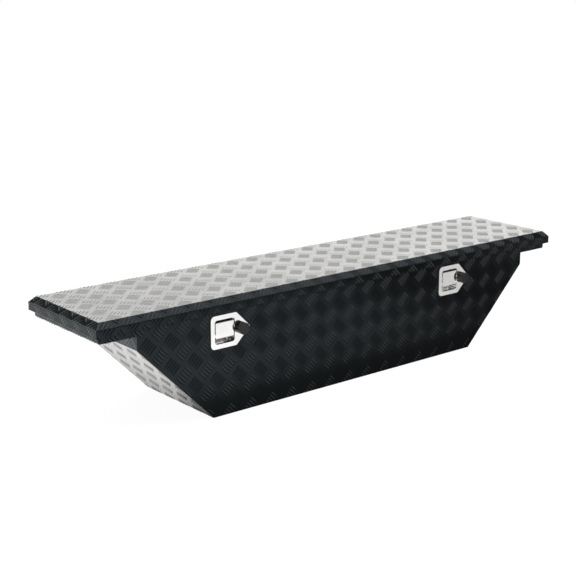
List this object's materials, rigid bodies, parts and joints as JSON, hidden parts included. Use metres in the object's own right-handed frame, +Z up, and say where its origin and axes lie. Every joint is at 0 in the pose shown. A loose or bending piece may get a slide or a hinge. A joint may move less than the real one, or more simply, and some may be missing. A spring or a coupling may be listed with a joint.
{
  "type": "truck tool box",
  "caption": "Low-profile crossover truck tool box with angled ends, a hinged tread-plate lid on gas struts, and locking paddle latches on the front.",
  "frame": {"origin": "centre of the tub's underside", "axes": "+X along the length, -Y towards the latches, +Z up"},
  "size_m": [1.753, 0.3652, 0.3385],
  "materials": {
    "gloss_black": "gloss",
    "bright_tread": "gloss",
    "liner_grey": "satin",
    "stainless": "polished",
    "zinc_steel": "satin",
    "strut_black": "gloss",
    "black_plastic": "satin",
    "seal_rubber": "matte",
    "foam_core": "matte"
  },
  "bodies": {
    "tub": {"front_panel": "gloss_black", "back_panel": "gloss_black", "floor_panel": "gloss_black", "slope_left": "bright_tread", "slope_right": "bright_tread", "wing_left": "gloss_black", "wing_right": "gloss_black", "rim_front": "gloss_black", "rim_back": "gloss_black", "rim_left": "gloss_black", "rim_right": "gloss_black", "weather_seal": "seal_rubber", "hinge_leaf_tub": "stainless", "hinge_pin": "zinc_steel", "strut_bracket_tub_left": "zinc_steel", "latch_plate_left": "stainless", "latch_gasket_left": "seal_rubber", "paddle_pin_left": "zinc_steel", "hook_bracket_left": "zinc_steel", "hook_pin_left": "zinc_steel", "hook_spring_left": "zinc_steel", "lock_collar_left": "stainless", "cap_pin_left": "zinc_steel", "lock_nut_left": "zinc_steel", "strut_bracket_tub_right": "zinc_steel", "latch_plate_right": "stainless", "latch_gasket_right": "seal_rubber", "paddle_pin_right": "zinc_steel", "hook_bracket_right": "zinc_steel", "hook_pin_right": "zinc_steel", "hook_spring_right": "zinc_steel", "lock_collar_right": "stainless", "cap_pin_right": "zinc_steel", "lock_nut_right": "zinc_steel"},
    "lid": {"lid_top_panel": "bright_tread", "lid_edge_frame": "gloss_black", "lid_core": "foam_core", "lid_liner": "liner_grey", "hinge_leaf_lid": "stainless", "striker_left": "zinc_steel", "strut_bracket_lid_left": "zinc_steel", "striker_right": "zinc_steel", "strut_bracket_lid_right": "zinc_steel"},
    "strut_cylinder_left": {"strut_cylinder_left": "strut_black"},
    "strut_rod_left": {"strut_rod_left": "stainless", "strut_head_eye_left": "zinc_steel"},
    "paddle_left": {"latch_paddle_left": "stainless"},
    "hook_left": {"hook_lever_left": "zinc_steel"},
    "cap_left": {"lock_cap_left": "black_plastic"},
    "lock_left": {"lock_cylinder_left": "stainless", "lock_cam_left": "zinc_steel"},
    "strut_cylinder_right": {"strut_cylinder_right": "strut_black"},
    "strut_rod_right": {"strut_rod_right": "stainless", "strut_head_eye_right": "zinc_steel"},
    "paddle_right": {"latch_paddle_right": "stainless"},
    "hook_right": {"hook_lever_right": "zinc_steel"},
    "cap_right": {"lock_cap_right": "black_plastic"},
    "lock_right": {"lock_cylinder_right": "stainless", "lock_cam_right": "zinc_steel"}
  },
  "joints": [
    {"name": "lid_hinge", "type": "hinge", "parent": "tub", "child": "lid", "pos_m": [0, 0.1714, 0.299], "axis": [-1, 0, 0], "range_deg": [0, 75]},
    {"name": "strut_swing_left", "type": "hinge", "parent": "tub", "child": "strut_cylinder_left", "pos_m": [-0.82, 0.1164, 0.292], "axis": [-1, 0, 0], "range_deg": [0, 84.19]},
    {"name": "strut_slide_left", "type": "slide", "parent": "strut_cylinder_left", "child": "strut_rod_left", "axis": [0, -0.9978, 0.0665], "range_m": [0, 0.0542]},
    {"name": "paddle_pull_left", "type": "hinge", "parent": "tub", "child": "paddle_left", "pos_m": [-0.4715, -0.16, 0.268], "axis": [-1, 0, 0], "range_deg": [0, 28], "stiffness_Nm_per_rad": 0.5, "springref_deg": -20.05},
    {"name": "hook_release_left", "type": "hinge", "parent": "tub", "child": "hook_left", "pos_m": [-0.4715, -0.128, 0.258], "axis": [-1, 0, 0], "range_deg": [0, 13]},
    {"name": "cap_swing_left", "type": "hinge", "parent": "tub", "child": "cap_left", "pos_m": [-0.396, -0.17455, 0.243], "axis": [0, 0, 1], "range_deg": [0, 110]},
    {"name": "lock_turn_left", "type": "hinge", "parent": "tub", "child": "lock_left", "pos_m": [-0.416, -0.16805, 0.243], "axis": [0, 1, 0], "range_deg": [0, 90]},
    {"name": "strut_swing_right", "type": "hinge", "parent": "tub", "child": "strut_cylinder_right", "pos_m": [0.82, 0.1164, 0.292], "axis": [-1, 0, 0], "range_deg": [0, 84.19]},
    {"name": "strut_slide_right", "type": "slide", "parent": "strut_cylinder_right", "child": "strut_rod_right", "axis": [0, -0.9978, 0.0665], "range_m": [0, 0.0542]},
    {"name": "paddle_pull_right", "type": "hinge", "parent": "tub", "child": "paddle_right", "pos_m": [0.4095, -0.16, 0.268], "axis": [-1, 0, 0], "range_deg": [0, 28], "stiffness_Nm_per_rad": 0.5, "springref_deg": -20.05},
    {"name": "hook_release_right", "type": "hinge", "parent": "tub", "child": "hook_right", "pos_m": [0.4095, -0.128, 0.258], "axis": [-1, 0, 0], "range_deg": [0, 13]},
    {"name": "cap_swing_right", "type": "hinge", "parent": "tub", "child": "cap_right", "pos_m": [0.485, -0.17455, 0.243], "axis": [0, 0, 1], "range_deg": [0, 110]},
    {"name": "lock_turn_right", "type": "hinge", "parent": "tub", "child": "lock_right", "pos_m": [0.465, -0.16805, 0.243], "axis": [0, 1, 0], "range_deg": [0, 90]}
  ],
  "couplings": [
    {"joint": "strut_swing_left", "follows": "lid_hinge", "ratio": 1.1225},
    {"joint": "strut_slide_left", "follows": "lid_hinge", "m_per_rad": 0.041406},
    {"joint": "hook_release_left", "follows": "paddle_pull_left", "ratio": 0.46429},
    {"joint": "strut_swing_right", "follows": "lid_hinge", "ratio": 1.1225},
    {"joint": "strut_slide_right", "follows": "lid_hinge", "m_per_rad": 0.041406},
    {"joint": "hook_release_right", "follows": "paddle_pull_right", "ratio": 0.46429}
  ]
}
